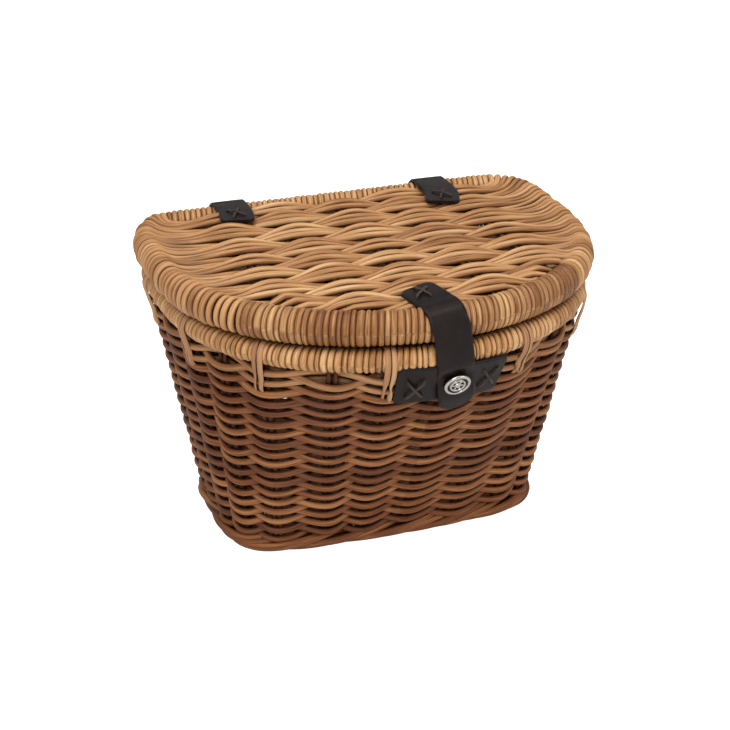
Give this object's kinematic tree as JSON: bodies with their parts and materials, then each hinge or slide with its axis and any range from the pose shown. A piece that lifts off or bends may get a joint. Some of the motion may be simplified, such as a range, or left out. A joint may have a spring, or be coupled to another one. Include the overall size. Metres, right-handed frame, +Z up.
{
  "type": "handlebar basket",
  "caption": "Lidded wicker bicycle basket with a bowed front and straight back, leather hinge straps, a press-stud closure strap and buckled handlebar straps.",
  "frame": {"origin": "on the underside of the base, at the middle of the lid's width and depth in plan", "axes": "+Z up, -Y towards the bowed front with the closure strap, +Y towards the straight back and the handlebar, X across"},
  "size_m": [0.37, 0.3165, 0.2542],
  "materials": {
    "wicker_body": "satin",
    "wicker_lid": "satin",
    "wicker_stake": "satin",
    "cane_wrapping": "semi-gloss",
    "cane_tie": "satin",
    "leather": "semi-matt",
    "leather_lace": "matt",
    "nickel": "polished"
  },
  "bodies": {
    "basket": {"foot_border": "wicker_body", "base_weave": "wicker_body", "base_sticks": "wicker_stake", "side_stakes": "wicker_stake", "body_weave": "wicker_body", "rim_hoop": "wicker_stake", "rim_wrapping": "cane_wrapping", "rim_ties": "cane_tie", "keeper_patch": "leather", "keeper_lacing": "leather_lace", "button_stud": "nickel", "stud_washer": "nickel", "hinge_lower_lacing": "leather_lace", "hinge_lower_leaf_left": "leather", "hinge_lower_leaf_right": "leather", "handlebar_strap_left": "leather", "handlebar_strap_right": "leather", "buckle_frame_left": "nickel", "buckle_frame_right": "nickel"},
    "lid": {"lid_hoop": "wicker_stake", "lid_wrapping_front": "cane_wrapping", "lid_wrapping_back": "cane_wrapping", "lid_side_wraps": "wicker_lid", "lid_stakes": "wicker_stake", "lid_weave": "wicker_lid", "hinge_upper_lacing": "leather_lace", "hinge_upper_leaf_left": "leather", "hinge_upper_leaf_right": "leather", "closure_strap_anchor": "leather", "closure_lacing": "leather_lace"},
    "closure_flap": {"closure_strap_flap": "leather", "button_cap": "nickel", "button_socket": "nickel"},
    "tongue_left": {"buckle_tongue_left": "nickel"},
    "tongue_right": {"buckle_tongue_right": "nickel"}
  },
  "joints": [
    {"name": "lid_hinge", "type": "hinge", "parent": "basket", "child": "lid", "pos_m": [0, 0.1406, 0.22065], "axis": [-1, 0, 0], "range_deg": [0, 105]},
    {"name": "closure_flap_hinge", "type": "hinge", "parent": "lid", "child": "closure_flap", "pos_m": [0.011, -0.1406, 0.232], "axis": [-1, 0, 0], "range_deg": [0, 100]},
    {"name": "buckle_tongue_left_hinge", "type": "hinge", "parent": "basket", "child": "tongue_left", "pos_m": [-0.046, 0.1702, 0.164], "axis": [-1, 0, 0], "range_deg": [0, 90]},
    {"name": "buckle_tongue_right_hinge", "type": "hinge", "parent": "basket", "child": "tongue_right", "pos_m": [0.046, 0.1702, 0.164], "axis": [-1, 0, 0], "range_deg": [0, 90]}
  ]
}
